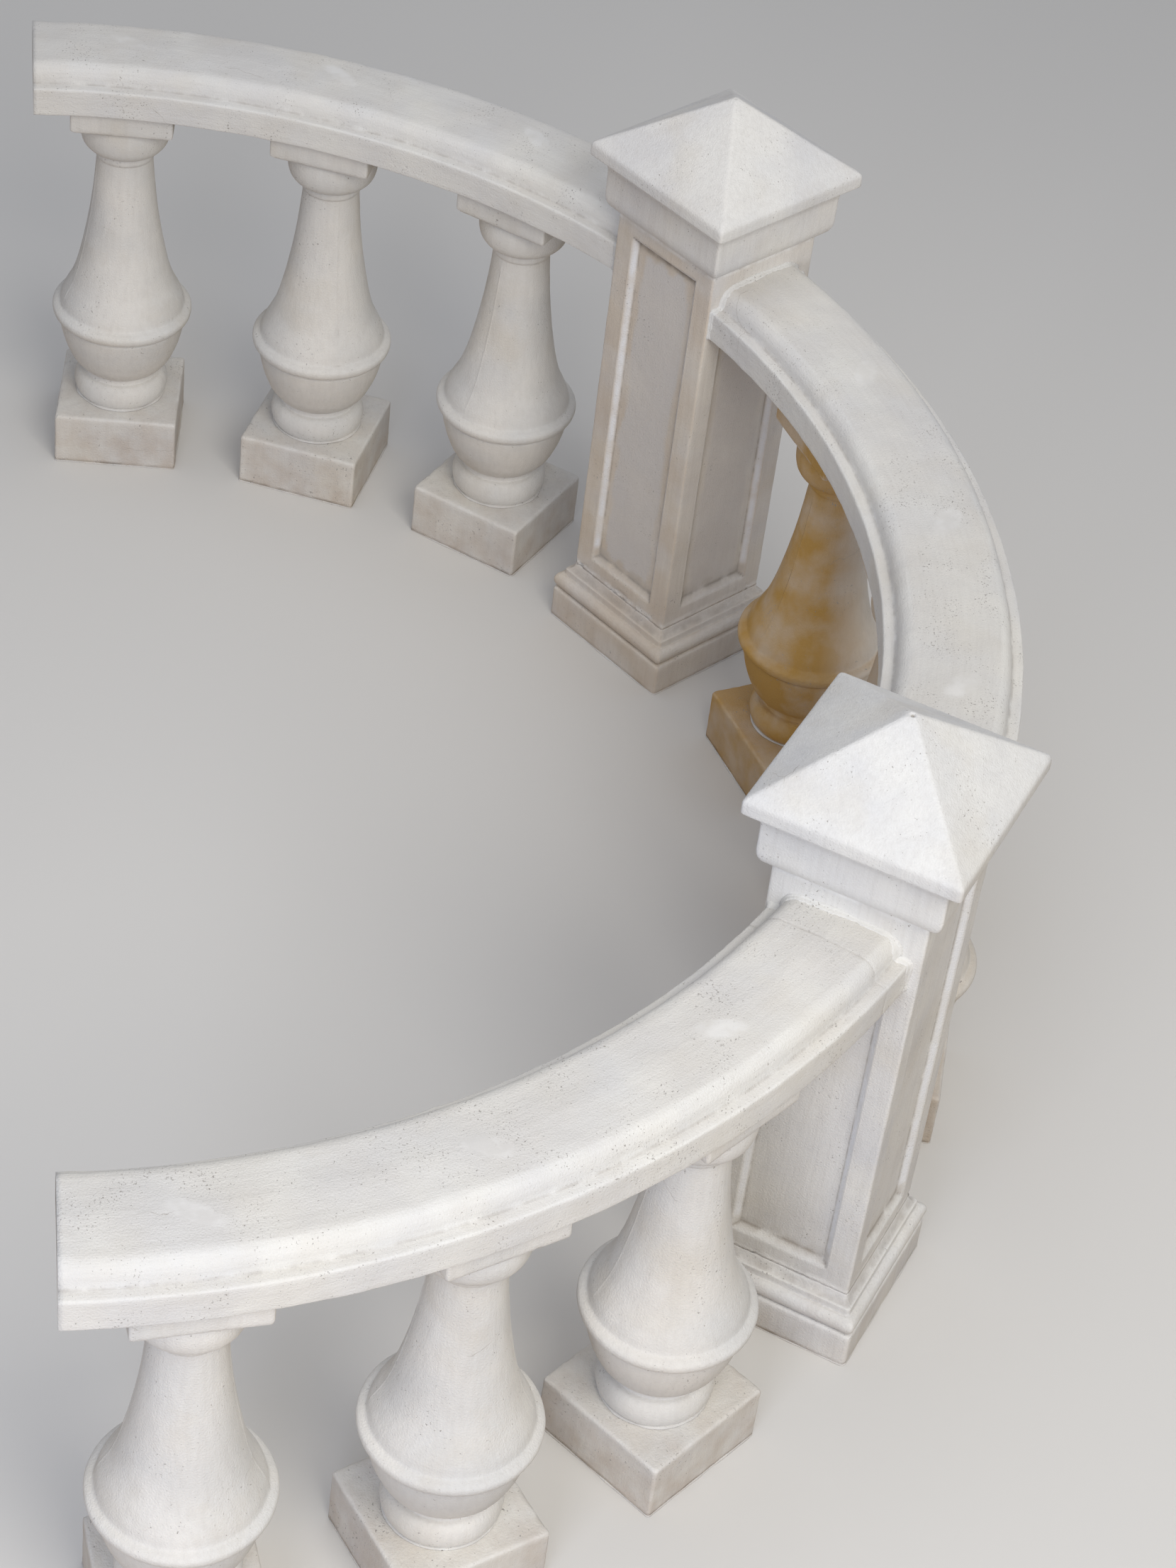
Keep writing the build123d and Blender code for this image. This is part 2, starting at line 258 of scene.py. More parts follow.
def masonry_paint(name, film, cool, strokes, pits, stain=0.35, dust=0.0, along_piece=False):
    """White masonry paint over cast concrete: a matt, chalky film in which the eye finds soft warm and
    cool clouds about a hand wide, brush strokes that run with the piece, blow holes from the casting,
    grey dirt and painted shade in the grooves and a cleaner line on the arrises. Faces that look in
    carry painted warm bounce light as an ochre tint, and the panel bevels a painted highlight.
    Bedding mortar shows greyer.

    film and cool are the colours of the coat and of the cooler clouds in it. strokes is the width of a
    brush mark in mm, how far it is drawn out, and how strongly it shows. pits is the spacing of the blow
    holes in mm, and the level the noise must pass to make one, so a lower level opens more and larger
    holes. stain and dust are the strength of the warm stains and of the dirt splashed up from below.
    """
    material = bpy.data.materials.new(name)
    material.use_nodes = True
    tree = material.node_tree
    shader = tree.nodes["Principled BSDF"]
    place = add(tree, "TexCoord", {}, "Object")
    marks = ("hollow", "arris", "sheltered", "panel", "bevel", "sill", "level", "patch", "mortar")
    marks += ("along", "around")
    masks = {mark: add(tree, "Attribute", {}, "Fac", attribute_name=mark) for mark in marks}
    if along_piece:
        run = add(tree, "CombineXYZ", {0: masks["along"], 1: masks["around"]})
        drawn = add(tree, "Mapping", {"Vector": run, "Scale": (1 / strokes[1], 1, 1)})
    else:
        drawn = add(tree, "Mapping", {"Vector": place, "Scale": (1, 1, 1 / strokes[1])})

    # Each pattern: its size in mm, its detail, the span of the noise that is used, and what that becomes.
    # The sand in the concrete is about half a millimetre; its grain is drawn at 3 mm, so that it shows.
    patterns = {
        "clouds": (150, 3, 0.36, 0.64, 0.0, 1.0),
        "stains": (130, 5, 0.52, 0.68, 0.0, stain),
        "greyed": (170, 4, 0.35, 0.65, 0.05, 0.40),
        "strokes": (strokes[0], 3, 0.40, 0.75, 0.0, strokes[2]),
        "hairlines": (strokes[0] / 3, 2, 0.30, 0.70, 0.0, 1.0),
        "coat": (55, 5, 0.44, 0.56, 0.30, 1.0),
        "film": (110, 5, 0.38, 0.58, 0.60, 0.98),
        "bevel_highlight_patches": (45, 3, 0.35, 0.60, 0.45, 0.90),
        "dirt_and_shade_patches": (26, 3, 0.32, 0.60, 0.15, 0.95),
        "rubbed": (34, 2, 0.40, 0.60, 0.0, 0.55),
        "crowd": (80, 3, 0.35, 0.65, 0.0, 1.0),
        "grain": (3.0, 3, 0.25, 0.75, 0.0, 1.0),
        "cracked": (150, 2, 0.64, 0.67, 0.0, 0.55),
        "splash": (45, 3, 0.35, 0.70, 0.0, dust),
        "chalk": (40, 2, 0.30, 0.70, 0.76, 0.93),
    }
    for pattern, (size_mm, detail, low, high, start, end) in patterns.items():
        where = drawn if pattern in ("strokes", "hairlines") else place
        value = add(tree, "TexNoise", {"Vector": where, "Scale": 1000 / size_mm, "Detail": detail})
        masks[pattern] = add(tree, "MapRange", {0: value, 1: low, 2: high, 3: start, 4: end})
    pit_mm, pit_level = pits
    fine = add(tree, "TexNoise", {"Vector": place, "Scale": 1000 / pit_mm, "Detail": 3, "Roughness": 0.6})
    fine = add(tree, "Math", {0: masks["crowd"], 1: 0.12, 2: fine}, operation="MULTIPLY_ADD")
    masks["hole"] = add(tree, "MapRange", {0: fine, 1: pit_level, 2: pit_level + 0.05})

    # Hairline cracks run between cells about 190 mm across, whose edges are bent by up to 35 mm in waves
    # of 40 mm. A crack fades out 0.7 mm from its middle.
    cell_mm, bend_mm, bend = 190, 40, 0.035
    bent = add(tree, "TexNoise", {"Vector": place, "Scale": 1000 / bend_mm, "Detail": 4}, "Color")
    bent = add(tree, "VectorMath", {0: bent, 1: (bend, bend, bend), 2: place}, operation="MULTIPLY_ADD")
    edge = add(tree, "TexVoronoi", {"Vector": bent, "Scale": 1000 / cell_mm}, feature="DISTANCE_TO_EDGE")
    masks["crack"] = add(tree, "MapRange", {0: edge, 1: 0.0010, 2: 0.0036, 3: 1.0, 4: 0.0})
    masks["unpatched"] = add(tree, "MapRange", {0: masks["patch"], 3: 1.0, 4: 0.15})
    height = add(tree, "SeparateXYZ", {0: place}, 2)
    masks["low"] = add(tree, "MapRange", {0: height, 1: 0.0, 2: 0.18, 3: 1.0, 4: 0.0})

    # Each layer: its colour, and the masks whose product says how much of it covers the one below. A
    # colour Mix takes its two colours at sockets 6 and 7, and gives them mixed at output 2.
    layers = [
        (cool, ("clouds",)),
        ("#CFCCC8", ("level", "greyed")),
        ("#D3CDC1", ("stains", "unpatched")),
        ("#A9A39E", ("strokes", "unpatched")),
        # Painted warm bounce light: an ochre tint on faces that look in, patchy by the film noise.
        ("#BA8E36", ("sheltered", "film")),
        ("#D3CFCB", ("panel", "film")),
        # Painted highlight on the panel bevels: a pale bluish white.
        ("#ECEEF2", ("bevel", "bevel_highlight_patches")),
        ("#EAE9E7", ("patch", "rubbed")),
        # Grey-brown dirt and painted shade in the grooves and creases.
        ("#887E73", ("hollow", "dirt_and_shade_patches")),
        ("#F6F5F2", ("arris", "rubbed")),
        ("#B59F88", ("low", "splash")),
        ("#CFCCC7", ("mortar", "coat")),
        ("#BCB6AE", ("sill", "dirt_and_shade_patches")),
        ("#A39C93", ("crack", "cracked", "unpatched")),
        ("#A5A09A", ("hole", "unpatched")),
    ]
    colour = linear(film)
    for shade, factors in layers:
        amount = masks[factors[0]]
        for factor in factors[1:]:
            amount = add(tree, "Math", {0: amount, 1: masks[factor]}, operation="MULTIPLY")
        colour = add(tree, "Mix", {0: amount, 6: colour, 7: linear(shade)}, 2, data_type="RGBA")
    tree.links.new(colour, shader.inputs["Base Color"])
    tree.links.new(masks["chalk"], shader.inputs["Roughness"])

    # The last layer's amount is that of the blow holes, which are sunk into the relief as well.
    open_holes = amount
    relief = add(tree, "Math", {0: masks["hairlines"], 1: 0.28, 2: masks["grain"]}, operation="MULTIPLY_ADD")
    relief = add(tree, "Math", {0: relief, 1: masks["unpatched"]}, operation="MULTIPLY")
    relief = add(tree, "Math", {0: relief, 1: open_holes}, operation="SUBTRACT")
    bump = add(tree, "Bump", {"Strength": 0.5, "Distance": 0.0011, "Height": relief})
    tree.links.new(bump, shader.inputs["Normal"])
    return material


# Brushed upright by hand, so long soft strokes show and few blow holes are left open.
post_paint = masonry_paint(
    "brushed_masonry_paint_on_posts",
    film="#E7E6E2",
    cool="#DADADA",
    strokes=(7, 18, 0.14),
    pits=(4.0, 0.755),
    dust=0.18,
)
block_outline = moulded(
    [(0.002, 0, 0), (block_half, 0, 0.003), (block_half, block_height, 0.006), (0.002, block_height, 0)],
    spacing=0.007,
    plain=(0,),
)
block_across = across_side(block_half, block_arris, spacing=0.007)
block_foot = square_rings(np.array([[block_half - 0.001, 0.0]]), block_arris, block_across)
for side, angle in post_angles.items():
    block = placed(square_rings(block_outline, block_arris, block_across), angle)
    surface = weathered(block, 11, chip=0.005, ragged=0.0015, bounce_tint=post_bounce_tint[side])
    bead = squeezed_mortar(placed(block_foot, angle)[0], reach=0.0025, rise=0.003, seed=13)
    shells = [surface, bead]
    cast_piece(f"foot_block_{side}", shells, post_paint, f"post_{side}_block")

# Post base mouldings. A second casting on the block: a fat torus, a fillet, and a flat hollow that runs
# up into the shaft. The torus stands a little forward of the block, over a dark open joint.
base_height = 0.061
torus_half = 0.149
torus_height = 0.031
torus_seat_half = 0.139
base_arris = 0.006
fillet_half = 0.1345
fillet_head = 0.043
shaft_half = 0.122
base_outline = moulded(
    [(0.002, 0, 0), (torus_seat_half, 0, 0.001), (torus_half - 0.0035, 0.004, 0.004)]
    + [(torus_half, 0.012, 0.004), (torus_half, 0.021, 0.004), (torus_half - 0.004, 0.028, 0.003)]
    + [(torus_seat_half, torus_height, 0.001)]
    + [(fillet_half, torus_height, 0.0015), (fillet_half, fillet_head, 0.003)]
    + quarter((fillet_half - 0.002, fillet_head + 0.001), (shaft_half, base_height), False)
    + [(0.002, base_height, 0)],
    spacing=0.006,
    plain=(0,),
)
for side, angle in post_angles.items():
    base = placed(square_rings(base_outline, base_arris, block_across), angle)
    base[..., 2] += block_height
    shells = [weathered(base, 21, ragged=0.001, bounce_tint=post_bounce_tint[side])]
    cast_piece(f"torus_base_{side}", shells, post_paint, f"post_{side}_base_moulding")

# Post shafts. Square castings with a sunk panel in each face behind a narrow bevel; the panels in the
# two faces that take a rail stop short under it. Bedded 1.5 mm into the base, and painted over the joint.
shaft_foot = block_height + base_height
shaft_bedded = 0.0015
shaft_head = 0.906
shaft_arris = 0.005
panel_mouth_half = 0.082
panel_bevel = 0.012
panel_depth = 0.011
panel_foot = shaft_foot + 0.034
panel_head = shaft_head - 0.032
rail_foot = 0.776
panel_head_under_rail = rail_foot - 0.018
level_spacing = 0.008
bevel_steps = np.linspace(0, 1, 5)
across_stile = np.linspace(shaft_half - shaft_arris, panel_mouth_half + 0.001, 8)
across_bevel = panel_mouth_half - panel_bevel * bevel_steps
across_panel = np.linspace(across_bevel[-1] - 0.001, 0, 13)
across_half = np.concatenate([across_stile, across_bevel, across_panel]) / shaft_half
corner_turn = np.linspace(1 - shaft_arris / shaft_half, 1, 5)[1:-1][::-1]
shaft_across = np.concatenate([[-1], -corner_turn, -across_half, across_half[::-1][1:], corner_turn[::-1]])
plain_run = (panel_foot + panel_bevel + 0.006, panel_head_under_rail - panel_bevel - 0.003)
upper_run = (panel_head_under_rail + 0.006, panel_head - panel_bevel - 0.003)
levels = np.concatenate(
    [
        np.linspace(shaft_foot - shaft_bedded, panel_foot, 8)[:-1],
        panel_foot + panel_bevel * bevel_steps,
        np.arange(*plain_run, level_spacing),
        panel_head_under_rail - panel_bevel * bevel_steps[::-1],
        np.arange(*upper_run, level_spacing),
        panel_head - panel_bevel * bevel_steps[::-1],
        np.linspace(panel_head, shaft_head, 8)[1:],
    ]
)
shaft_outline = np.stack([np.full_like(levels, shaft_half), levels], -1)
shaft_outline = np.concatenate([[[0.002, levels[0]]], shaft_outline, [[0.002, shaft_head]]])


def sunk_panels(shaft, across):
    """Sinks the four panels: depth * clip(d / bevel, 0, 1), where d is how far inside the mouth a point
    of the face lies. Sides 0 and 2 take the rails. Returns the points, the share of the depth, how far
    into the older coat in the middle of a panel a point lies, from 10 mm off the bevel, and the dirty
    sill: the lower bevel and a ragged strip of about 14 mm above it."""
    per_side = len(across)
    sunk, (share, older, sill) = shaft.copy(), np.zeros((3, *shaft.shape[:2]))
    for turn in range(4):
        columns = slice(turn * per_side, (turn + 1) * per_side)
        head = panel_head_under_rail if turn in (0, 2) else panel_head
        level = shaft[:, columns, 2]
        from_end = np.minimum(level - panel_foot, head - level)
        inside = np.minimum(panel_mouth_half - np.abs(across * shaft_half), from_end)
        share[:, columns] = np.clip(inside / panel_bevel, 0, 1)
        ragged_edge = 0.010 + 0.008 * waves(shaft[:, columns] * [1, 1, 0.3], 0.03, 37 + turn)
        older[:, columns] = np.clip((inside - panel_bevel - ragged_edge) / 0.006, 0, 1)
        over_sill = level - panel_foot - panel_bevel - ragged_edge
        sill[:, columns] = np.clip(1 - over_sill / 0.010, 0, 1) * np.clip(inside / 0.004, 0, 1)
        facing = np.array([cos(turn * pi / 2), sin(turn * pi / 2), 0])
        sunk[:, columns] -= panel_depth * share[:, columns, None] * facing
    return sunk, share, older, sill


# How much of an older, greyer coat shows in the middle of each post's panels, and of dirt on their sills.
older_coat = {"left": 0.15, "right": 0.9}
sill_dirt = 0.45
plain_shaft = square_rings(shaft_outline, shaft_arris, shaft_across)
for side, angle in post_angles.items():
    shaft, share, older, sill = sunk_panels(plain_shaft, shaft_across)
    shaft = placed(shaft, angle)
    surface, marks = weathered(shaft, 31, uneven=0.0009, ragged=0.0008, bounce_tint=post_bounce_tint[side])
    # Painted highlight: a pale line along the middle of every panel bevel, fading at the sill.
    bevel = 4 * share * (1 - share) * (1 - sill)
    marks |= {"panel": older_coat[side] * older, "bevel": bevel, "sill": sill_dirt * sill}
    cast_piece(f"panelled_shaft_{side}", [(surface, marks)], post_paint, f"post_{side}_shaft")

# Post bed mouldings. A casting between the shaft and the cap: an ovolo springs off the shaft to a plain
# band, and a hollow carries the band out under the cap. The joints are rubbed with thin mortar.
bed_height = 0.103
band_half = 0.143
band_foot = 0.030
band_head = 0.073
bed_hollow_half = 0.161
bed_arris = 0.005
bed_bounce_share = 0.4
bed_outline = moulded(
    [(0.002, 0, 0)]
    + quarter((shaft_half, 0), (band_half, band_foot), False)
    + [(band_half, band_foot + 0.001, 0.002), (band_half, band_head, 0.002)]
    + quarter((band_half, band_head), (bed_hollow_half, bed_height), True)[1:]
    + [(0.002, bed_height, 0)],
    spacing=0.006,
    plain=(0, 15),
)
for side, angle in post_angles.items():
    bed = placed(square_rings(bed_outline, bed_arris, block_across), angle)
    bed[..., 2] += shaft_head
    shells = [weathered(bed, 41, ragged=0.001, bounce_tint=bed_bounce_share * post_bounce_tint[side])]
    cast_piece(f"bed_moulding_{side}", shells, post_paint, f"post_{side}_bed_moulding")

# Post caps. A square slab with an upright edge and a low pyramid top that sheds rain, its hips softened
# by coats of paint and its point knocked blunt. The top shows brush marks that run up the slopes.
cap_foot = 1.009
cap_half = 0.167
cap_fascia = 0.025
cap_rise = 0.118
tip_half = 0.005
cap_head = cap_fascia + cap_rise
cap_arris = 0.006
cap_outline = moulded(
    [(0.002, 0, 0), (cap_half, 0, 0.004), (cap_half, cap_fascia, 0.006), (tip_half, cap_head, 0.003)]
    + [(0.001, cap_head, 0)],
    spacing=0.007,
)
cap_across = across_side(cap_half, cap_arris, spacing=0.007)
cap_bounce_share = 0.2
knock_width = 0.005
knock_dirt_reach = 0.003
knocked_tip = {"left": 0.005, "right": 0.001}
for side, angle in post_angles.items():
    cap = square_rings(cap_outline, cap_arris, cap_across)
    from_tip = np.hypot(cap[..., 0], cap[..., 1])
    cap[..., 2] += cap_foot - knocked_tip[side] * np.exp(-(from_tip / knock_width) ** 2)
    bounce_tint = cap_bounce_share * post_bounce_tint[side]
    surface, marks = weathered(placed(cap, angle), 51, chip=0.005, ragged=0.0015, bounce_tint=bounce_tint)
    dirt = knocked_tip[side] / knocked_tip["left"] * (from_tip < knock_dirt_reach)
    marks["hollow"] = np.maximum(marks["hollow"], dirt)
    cast_piece(f"pyramid_cap_{side}", [(surface, marks)], post_paint, f"post_{side}_cap")

# Baluster plinths. Square concrete blocks set out one by one round the curve, each on its own bed of
# mortar, with a ring of squeezed-out mortar and crumbs round the foot of the baluster on top.
baluster_angles = {"middle": [-16.4, 0.0, 16.4], "left": [-51.3, -67.2, -83.1], "right": [51.3, 67.2, 83.1]}
plinth_half = 0.117
plinth_height = 0.107
plinth_arris = 0.006
foot_ring = 0.0830
# How much painted warm bounce light, an ochre tint, each plinth and its baluster get: most next to the right
# post.
outer_bay_bounce_tint = 0.06
bay_bounce_tint = {"left": [outer_bay_bounce_tint] * 3, "middle": [0.25, 0.60, 0.95], "right": [outer_bay_bounce_tint] * 3}
# Thinly painted and low down: more open blow holes, and warm dirt splashed up by rain.
plinth_paint = masonry_paint(
    "pitted_masonry_paint_on_plinths",
    film="#E5E3DD",
    cool="#D8D7D5",
    strokes=(9, 10, 0.12),
    pits=(4.5, 0.74),
    dust=0.45,
)
plinth_outline = moulded(
    [(0.002, 0, 0), (plinth_half, 0, 0.003), (plinth_half, plinth_height, 0.006)]
    + [(foot_ring, plinth_height, 0), (0.002, plinth_height, 0)],
    spacing=0.0065,
    plain=(0,),
)
plinth_across = across_side(plinth_half, plinth_arris, spacing=0.0065)
plinth_foot = square_rings(np.array([[plinth_half - 0.001, 0.0]]), plinth_arris, plinth_across)
ring_turns = np.linspace(0, 2 * pi, 96, endpoint=False)
ring_x, ring_y = foot_ring * np.cos(ring_turns), foot_ring * np.sin(ring_turns)
foot_circle = np.stack([ring_x, ring_y, plinth_height + 0 * ring_turns], -1)
plinth_wear = {"uneven": 0.0014, "chip": 0.006, "chip_share": 0.65, "ragged": 0.0022}
for bay, angles in baluster_angles.items():
    for number, angle in enumerate(angles, 1):
        plinth = placed(square_rings(plinth_outline, plinth_arris, plinth_across), angle)
        shells = [weathered(plinth, 61, bounce_tint=bay_bounce_tint[bay][number - 1], **plinth_wear)]
        shells.append(squeezed_mortar(placed(plinth_foot, angle)[0], reach=0.0025, rise=0.003, seed=63))
        shells.append(squeezed_mortar(placed(foot_circle, angle), reach=0.0045, rise=0.004, seed=65))
        name = f"plinth_{bay}_{number}"
        cast_piece(f"set_{name}", shells, plinth_paint, name)

# Balusters. Vases cast in a two-part mould, so a thin raised seam runs up two sides of the flare; foot
# ring, bowl, ridge, flare, astragal and echinus are one casting with the square abacus under the rail.
# Painted up and down the vase over a smooth mould face: fewer holes, and more of the warm stains.
baluster_paint = masonry_paint(
    "masonry_paint_on_balusters",
    film="#E6E4DF",
    cool="#DADAD8",
    strokes=(8, 14, 0.12),
    pits=(4.5, 0.76),
    stain=0.45,
)
abacus_half = 0.094
abacus_foot = 0.620
abacus_head = 0.669
turned_outline = moulded(
    [(0.002, 0, 0), (0.080, 0, 0.002)]
    + [(0.0865, 0.008, 0.005), (0.0900, 0.020, 0.006), (0.0898, 0.031, 0.006)]
    + [(0.0860, 0.043, 0.005), (0.0790, 0.0505, 0.003), (0.0725, 0.0520, 0.001), (0.0715, 0.061, 0.001)]
    + [(0.082, 0.069, 0.004), (0.0965, 0.087, 0.010), (0.110, 0.120, 0.014)]
    + [(0.1175, 0.150, 0.014), (0.120, 0.171, 0.002)]
    + [(0.117, 0.1735, 0.001), (0.1175, 0.179, 0.001)]
    + [(0.1300, 0.181, 0.004), (0.1335, 0.190, 0.005), (0.1325, 0.198, 0.004), (0.127, 0.2025, 0.003)]
    + [(0.119, 0.206, 0.003), (0.1155, 0.221, 0.006), (0.106, 0.241, 0.014), (0.096, 0.261, 0.016)]
    + [(0.0868, 0.291, 0.018), (0.0790, 0.326, 0.02), (0.0706, 0.371, 0.02)]
    + [(0.0630, 0.421, 0.02), (0.0574, 0.471, 0.016)]
    + [(0.0538, 0.515, 0.008), (0.0528, 0.531, 0.002)]
    + [(0.0558, 0.5345, 0.003), (0.0566, 0.541, 0.003), (0.0556, 0.547, 0.002)]
    + [(0.0575, 0.5505, 0.001), (0.0700, 0.5545, 0.005), (0.0792, 0.565, 0.008)]
    + [(0.0836, 0.581, 0.008), (0.0842, 0.597, 0.007)]
    + [(0.0818, 0.611, 0.006), (0.0755, abacus_foot, 0.002), (0.002, abacus_foot, 0)],
    spacing=0.007,
)
abacus_outline = moulded(
    [(0.002, abacus_foot, 0), (abacus_half, abacus_foot, 0.010)]
    + [(abacus_half, abacus_head, 0.002), (0.002, abacus_head, 0)],
    spacing=0.007,
    plain=(2,),
)
abacus_arris = 0.005
abacus_across = across_side(abacus_half, abacus_arris, spacing=0.007)
abacus = square_rings(abacus_outline, abacus_arris, abacus_across)
# Where the first of the two seams stands on each baluster, in degrees from along the curve.
first_seams = {"left": [148, 150, 165], "middle": [60, 150, 98], "right": [79, 124, 20]}
beside_seam = np.radians([-1.6, -1.0, -0.4, 0.4, 1.0, 1.6])
seam_rise = 0.0007
seam_half = 0.0016


def turned(outline, first_seam):
    """Surface of revolution: (r cos a, r sin a, z). Between the ridge and the neck the mould's two seams
    add 0.7 mm * exp(-(distance / 1.6 mm)^2), distance being the arc from the seam."""
    seams = np.radians([first_seam % 360, (first_seam + 180) % 360])
    turns = np.concatenate([ring_turns, seams[0] + beside_seam, seams[1] + beside_seam])
    turns = np.unique(turns % (2 * pi))
    r, z = outline[:, :1], outline[:, 1:2]
    away = np.abs(turns[None, :, None] - seams)
    away = np.minimum(away, 2 * pi - away).min(-1) * r
    seam_run = np.clip((z - 0.210) / 0.02, 0, 1) * np.clip((0.525 - z) / 0.01, 0, 1)
    r = r + seam_rise * np.exp(-((away / seam_half) ** 2)) * seam_run
    return np.stack([r * np.cos(turns), r * np.sin(turns), z + 0 * turns], -1)


for bay, angles in baluster_angles.items():
    for number, (angle, first_seam) in enumerate(zip(angles, first_seams[bay]), 1):
        shells, bounce_tint = [], bay_bounce_tint[bay][number - 1]
        for shell in (turned(turned_outline, first_seam), abacus):
            shell = placed(shell, angle)
            shell[..., 2] += plinth_height
            shells.append(weathered(shell, 71, uneven=0.0008, chip_share=0.4, bounce_tint=bounce_tint))
        name = f"baluster_{bay}_{number}"
        cast_piece(f"turned_{name}", shells, baluster_paint, name)

# Handrails. Each bay is one curved casting: an upright fascia, a ledge and a broad flat crown with round
# shoulders, run between the posts. The lifting holes over the balusters are stopped with smooth mortar.
rail_spans = {"left": (-90.0, -34.2), "middle": (-34.2, 34.2), "right": (34.2, 90.0)}
rail_ledge = 0.831
rail_top = 0.867
rail_half = 0.110
crown_half = 0.089
# Brushed along the rail and open to the weather: faint strokes round the curve, and fine pits all over.
rail_paint = masonry_paint(
    "pitted_masonry_paint_on_handrails",
    film="#E6E5E0",
    cool="#DCDCDB",
    strokes=(6, 14, 0.10),
    pits=(3.5, 0.730),
    stain=0.25,
    along_piece=True,
)
rail_camber = 0.0025
half_section = moulded(
    [(0, 0, 0), (rail_half, 0, 0.003), (rail_half, rail_ledge - rail_foot, 0.005)]
    + [(crown_half + 0.002, 0.0565, 0.003)]
    + quarter((crown_half, 0.063), (crown_half - 0.028, rail_top - rail_foot), True, 9)
    + [(0, rail_top - rail_foot + rail_camber, 0)],
    spacing=0.0065,
)
section = np.concatenate([half_section, half_section[::-1][1:-1] * [-1, 1]])

# By the left post a thin joint crosses the rail, filled a little short, and rings lie close across it. Its
# 66 mm on the arc to the post's middle come to 60 mm from the post's face, because the rings are drawn in
# to meet that face. On the other rails it falls a metre past the end, where no ring lies.
joint_from_end = {"left": 0.066}
joint_steps = np.array([-0.0045, -0.003, -0.0015, 0.0, 0.0015, 0.003, 0.0045])
joint_half = 0.0022
joint_depth = 0.0010
ring_spacing = 0.0085


def swept(section, start, finish, shares):
    """Section carried round the centre of the curve. A point at radius r starts and ends where it meets
    the post's side face, at post angle +- asin(half shaft / r), and the rings lie at shares of the way."""
    radius, height = centreline_radius + section[:, 0], rail_foot + section[:, 1]
    lean = np.degrees(np.arcsin(shaft_half / radius))
    first = start + (lean if abs(start) < 90 else 0)
    last = finish - (lean if abs(finish) < 90 else 0)
    angle = np.radians(first + (last - first) * shares[:, None])
    return curve_centre + np.stack([radius * np.sin(angle), -radius * np.cos(angle), height + 0 * angle], -1)


def stopped_holes(points, marks, angles):
    """Marks an oval of smooth mortar on the crown over each baluster, 38 mm by 17 mm each way from its
    middle and turned 34 degrees to the rail: q = (u / 38 mm)^2 + (v / 17 mm)^2, which waves make uneven.
    The mortar stands 0.3 mm over the old surface, and the rest of the rail is worn 0.2 mm below it."""
    hole_turn, hole_long, hole_wide, off_centre = 0.6, 0.038, 0.017, 0.012
    reach = points - curve_centre
    angle = np.degrees(np.arctan2(reach[..., 0], -reach[..., 1]))
    radius = np.hypot(reach[..., 0], reach[..., 1])
    on_crown = points[..., 2] > rail_ledge + 0.03
    marks["patch"] = 0 * radius
    for centre in angles:
        forth = np.radians(angle - centre) * centreline_radius
        across = radius - centreline_radius - off_centre
        u = cos(hole_turn) * forth + sin(hole_turn) * across
        v = cos(hole_turn) * across - sin(hole_turn) * forth
        oval = (u / hole_long) ** 2 + (v / hole_wide) ** 2 + 0.2 * waves(points, 0.05, 91)
        marks["patch"] = np.maximum(marks["patch"], np.clip((1.3 - oval) / 0.6, 0, 1) * on_crown)
    points[..., 2] += 0.0005 * marks["patch"] - 0.0002
    return points, marks


for bay, (start, finish) in rail_spans.items():
    run = radians(finish - start) * centreline_radius
    joint = run - joint_from_end.get(bay, -1)
    even = np.linspace(0, run, int(run / ring_spacing))
    shares = np.unique(np.concatenate([even, joint + joint_steps])) / run
    shares = shares[shares <= 1]
    rail = swept(section, start, finish, shares)
    surface, marks = weathered(rail, 81, uneven=0.0016, chip=0.003, ragged=0.0016)
    line = np.exp(-(((shares * run - joint) / joint_half) ** 2))[:, None]
    line = line * np.clip(0.6 + 0.5 * waves(rail, 0.05, 95), 0, 1)
    surface -= outward_of(rail) * (joint_depth * line)[..., None]
    marks["hollow"] = np.maximum(marks["hollow"], 0.35 * line)
    marks["level"] = np.clip((outward_of(rail)[..., 2] - 0.93) / 0.05, 0, 1)
    steps = np.linalg.norm(np.diff(section, axis=0, prepend=section[:1]), axis=1)
    marks["along"] = np.arctan2(rail[..., 0], curve_centre[1] - rail[..., 1]) * centreline_radius
    marks["around"] = np.cumsum(steps) + 0 * marks["along"]
    shells = [stopped_holes(surface, marks, baluster_angles[bay])]
    cast_piece(f"moulded_rail_{bay}", shells, rail_paint, f"rail_{bay}")

# Mortar pointing. Where a rail meets a post the joint is filled with mortar, struck off as a small rough
# fillet round the rail's section, with crumbs left on the outer shoulder, and painted over with the rest.
pointing_steps = ((-0.006, -0.012), (0.0040, -0.012), (0.0050, -0.003), (0.0058, 0.0004), (0.0036, 0.0018))
pointing_steps += ((0.0020, 0.0040), (0.0010, 0.0070), (0.0004, 0.0110), (-0.0020, 0.0130), (-0.0060, 0.0130))


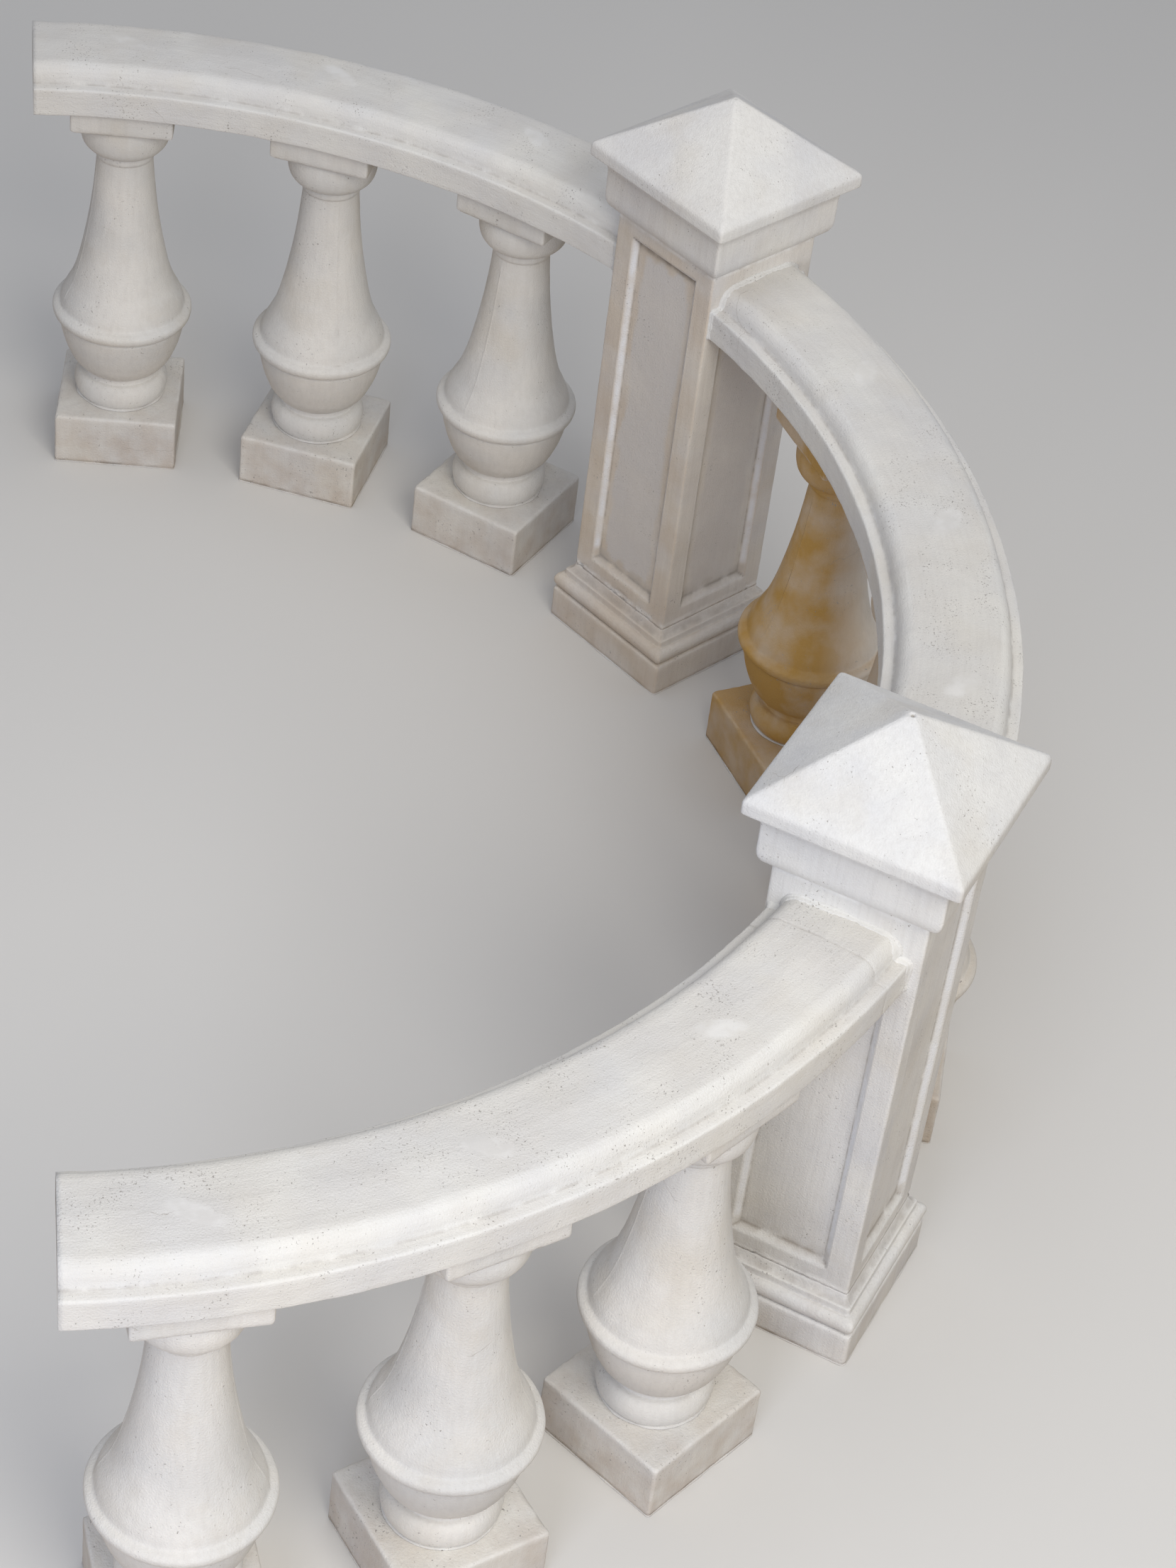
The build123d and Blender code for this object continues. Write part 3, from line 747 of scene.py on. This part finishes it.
def pointed(angle, way, seed):
    """Bead round the rail's section at a post's side face. Each ring is the section moved out along its
    normals by a lift and set a distance from the face: x = way * (half shaft + distance), and
    y = R - sqrt(r^2 - x^2), which keeps it on the curve. Both are varied by 30 mm and 9 mm waves, and
    are larger within about 12 mm of the outer shoulder."""
    edge = np.roll(section, -1, 0) - np.roll(section, 1, 0)
    normal = np.stack([edge[:, 1], -edge[:, 0]], -1) / np.linalg.norm(edge, axis=1, keepdims=True)
    spots = np.concatenate([section, 0 * section[:, :1]], 1)
    from_shoulder = np.linalg.norm(section - [crown_half, 0.070], axis=1)
    vary = 0.6 + 0.2 * waves(spots, 0.030, seed) + 0.15 * waves(spots, 0.009, seed + 1)
    vary *= 1 + 0.8 * np.exp(-((from_shoulder / 0.012) ** 2))
    rings = []
    for lift, distance in pointing_steps:
        out = section + normal * (lift * (vary if lift > 0 else 1 + 0 * vary))[:, None]
        x = way * (shaft_half + distance * (vary if distance > 0 else 1))
        y = centreline_radius - np.sqrt((centreline_radius + out[:, 0]) ** 2 - x**2)
        rings.append(np.stack([x + 0 * y, y, rail_foot + out[:, 1]], -1))
    bead = placed(np.stack(rings), angle)
    return bead, {"level": np.full(bead.shape[:2], 0.4)}


for side, angle in post_angles.items():
    shells = [pointed(angle, way, 101 + 10 * way) for way in (-1, 1)]
    cast_piece(f"mortar_pointing_{side}", shells, rail_paint)

# Plain pale studio floor and soft light: a broad lamp high up beyond the left end, a cool one low down on
# the same side, one overhead, and an even pale surround. The floor throws back warm light.
floor_paint = bpy.data.materials.new("pale_studio_floor")
floor_paint.use_nodes = True
floor_tree = floor_paint.node_tree
floor_shader = floor_tree.nodes["Principled BSDF"]
seen = add(floor_tree, "LightPath", {}, "Is Camera Ray")
thrown_back, shown = linear("#A99984"), linear("#DCDAD6")
floor_colour = add(floor_tree, "Mix", {0: seen, 6: thrown_back, 7: shown}, 2, data_type="RGBA")
floor_tree.links.new(floor_colour, floor_shader.inputs["Base Color"])
floor_shader.inputs["Roughness"].default_value = 0.9
bpy.ops.mesh.primitive_plane_add(size=60)
floor = bpy.context.object
floor.name = "studio_floor"
floor.data.materials.append(floor_paint)


def soft_lamp(name, place, aim, size, watts, tint):
    """Square area lamp at a place, turned so that its -Z axis points at the aim: the tilt is the angle
    from straight down, and the turn is the aim's bearing less a quarter turn."""
    data = bpy.data.lights.new(name, "AREA")
    data.size, data.energy, data.color = size, watts, linear(tint)[:3]
    lamp = bpy.data.objects.new(name, data)
    lamp.location = place
    way = np.array(aim) - np.array(place)
    tilt = np.arctan2(np.hypot(way[0], way[1]), -way[2])
    lamp.rotation_euler = (tilt, 0, np.arctan2(way[1], way[0]) - pi / 2)
    lamp.visible_camera = False
    bpy.context.scene.collection.objects.link(lamp)


soft_lamp("key_lamp", (-4.2, -1.2, 4.8), (0.0, 0.0, 0.6), 3.2, 176, "#FFFAF1")
soft_lamp("sky_lamp", (-4.8, 2.0, 1.9), (-0.8, -0.3, 1.7), 2.0, 84, "#E6EDFF")
soft_lamp("overhead_lamp", (0.5, -0.1, 4.6), (0.5, -0.1, 0.0), 3.0, 33, "#F8F8FB")
surround = bpy.data.worlds.new("pale_surround")
bpy.context.scene.world = surround
surround.use_nodes = True
surround.node_tree.nodes["Background"].inputs[0].default_value = linear("#DCE0E9")
surround.node_tree.nodes["Background"].inputs[1].default_value = 0.49
